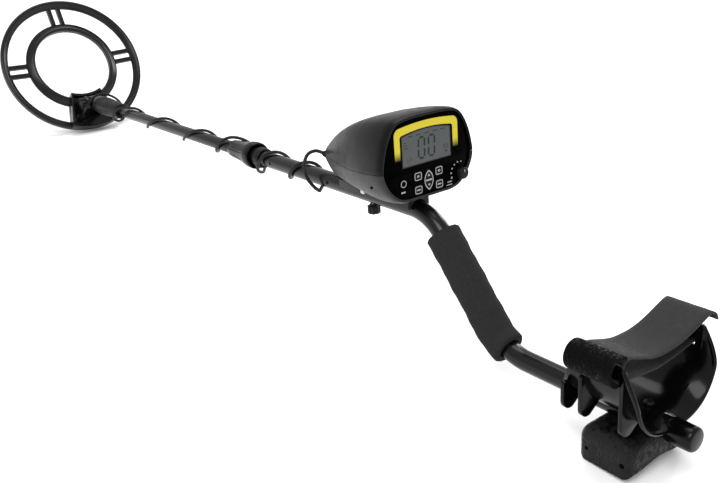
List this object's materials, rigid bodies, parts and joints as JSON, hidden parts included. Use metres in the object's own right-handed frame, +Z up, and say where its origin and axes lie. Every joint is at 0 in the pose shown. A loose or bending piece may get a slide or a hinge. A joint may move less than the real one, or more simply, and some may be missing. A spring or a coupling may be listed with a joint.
{
  "type": "metal detector",
  "caption": "Hobby metal detector with an open double-ring coil, telescopic stem, display box, foam grip, arm cradle with strap and stand foot.",
  "frame": {"origin": "bottom centre of the whole detector as it stands on its stand foot and the coil's rear edge", "axes": "+Y forward from the arm cradle to the search coil, +Z up, +X to the user's right"},
  "size_m": [0.2446, 1.349, 0.2298],
  "materials": {
    "battery": "dark sleeve",
    "board": "green circuit board",
    "box_bottom": "dark grey",
    "box_top": "black",
    "cable": "black",
    "coil_plastic": "black",
    "copper": "copper winding",
    "foam": "matte closed-cell foam",
    "lcd": "grey-green",
    "moulding": "black",
    "panel": "gloss black",
    "rubber": "black",
    "steel": "zinc plated",
    "trim": "yellow",
    "tube": "satin black",
    "webbing": "black webbing",
    "window": "clear grey"
  },
  "bodies": {
    "frame": {"upper_tube": "tube", "foam_grip": "foam", "end_cap": "rubber", "lock_sleeve": "moulding", "lock_ring": "rubber", "box_upper_shell": "box_top", "box_lower_shell": "box_bottom", "box_screw_left": "steel", "box_screw_right": "steel", "cable_bushing": "rubber", "box_saddle": "box_bottom", "face_panel": "panel", "display_window": "window", "trim_band": "trim", "lcd_module": "lcd", "key_mat": "rubber", "main_board": "board", "volume_pot": "steel", "headphone_socket": "steel", "speaker": "rubber", "battery_holder": "moulding", "battery_left": "battery", "battery_right": "battery", "clamp_nut": "steel", "arm_cradle": "moulding", "ground_stand": "moulding", "cradle_screw_front": "steel", "stand_nut_front": "steel", "cradle_screw_rear": "steel", "stand_nut_rear": "steel", "arm_strap": "webbing", "cable_upper": "cable"},
    "stem": {"lower_tube": "tube", "stem_fitting": "moulding", "washer_left": "rubber", "washer_right": "rubber", "cable_lower": "cable", "cable_tail": "cable"},
    "coil": {"coil_shell": "coil_plastic", "coil_base": "coil_plastic", "winding_outer": "copper", "winding_inner": "copper", "cable_gland": "rubber", "pivot_bolt": "moulding"},
    "lock_collar_body": {"lock_collar": "moulding"},
    "pivot_knob_body": {"pivot_knob": "moulding"},
    "thumb_screw_body": {"thumb_screw": "moulding"},
    "volume_knob_body": {"volume_knob": "moulding"},
    "key_1_body": {"key_1": "rubber"},
    "key_2_body": {"key_2": "rubber"},
    "key_3_body": {"key_3": "rubber"},
    "key_4_body": {"key_4": "rubber"},
    "rocker_pad_body": {"rocker_pad": "rubber"}
  },
  "joints": [
    {"name": "stem_slide", "type": "slide", "parent": "frame", "child": "stem", "axis": [0, 0.9962, -0.0866], "range_m": [-0.11, 0.07], "deforming": ["cable_lower"]},
    {"name": "coil_tilt", "type": "hinge", "parent": "stem", "child": "coil", "pos_m": [0, 0.52601, 0.05311], "axis": [1, 0, 0], "range_deg": [-65, 22], "deforming": ["cable_tail"]},
    {"name": "collar_twist", "type": "hinge", "parent": "frame", "child": "lock_collar_body", "pos_m": [0, -0.01943, 0.10052], "axis": [0, 0.9962, -0.0866], "range_deg": [0, 120]},
    {"name": "pivot_knob_turn", "type": "hinge", "parent": "coil", "child": "pivot_knob_body", "pos_m": [-0.02, 0.52601, 0.05311], "axis": [1, 0, 0], "continuous": true},
    {"name": "thumb_screw_turn", "type": "hinge", "parent": "frame", "child": "thumb_screw_body", "pos_m": [0, -0.28374, 0.10843], "axis": [0, 0.0866, 0.9962], "continuous": true},
    {"name": "volume_turn", "type": "hinge", "parent": "frame", "child": "volume_knob_body", "pos_m": [0.0395, -0.36888, 0.16251], "axis": [0, 0.9962, -0.0866], "range_deg": [-150, 150]},
    {"name": "key_1_press", "type": "slide", "parent": "frame", "child": "key_1_body", "axis": [0, 0.9962, -0.0866], "range_m": [0, 0.0007], "stiffness_N_per_m": 900},
    {"name": "key_2_press", "type": "slide", "parent": "frame", "child": "key_2_body", "axis": [0, 0.9962, -0.0866], "range_m": [0, 0.0007], "stiffness_N_per_m": 900},
    {"name": "key_3_press", "type": "slide", "parent": "frame", "child": "key_3_body", "axis": [0, 0.9962, -0.0866], "range_m": [0, 0.0007], "stiffness_N_per_m": 900},
    {"name": "key_4_press", "type": "slide", "parent": "frame", "child": "key_4_body", "axis": [0, 0.9962, -0.0866], "range_m": [0, 0.0007], "stiffness_N_per_m": 900},
    {"name": "rocker_tilt", "type": "hinge", "parent": "frame", "child": "rocker_pad_body", "pos_m": [0, -0.36875, 0.164], "axis": [1, 0, 0], "range_deg": [-3, 3], "stiffness_Nm_per_rad": 0.12}
  ]
}
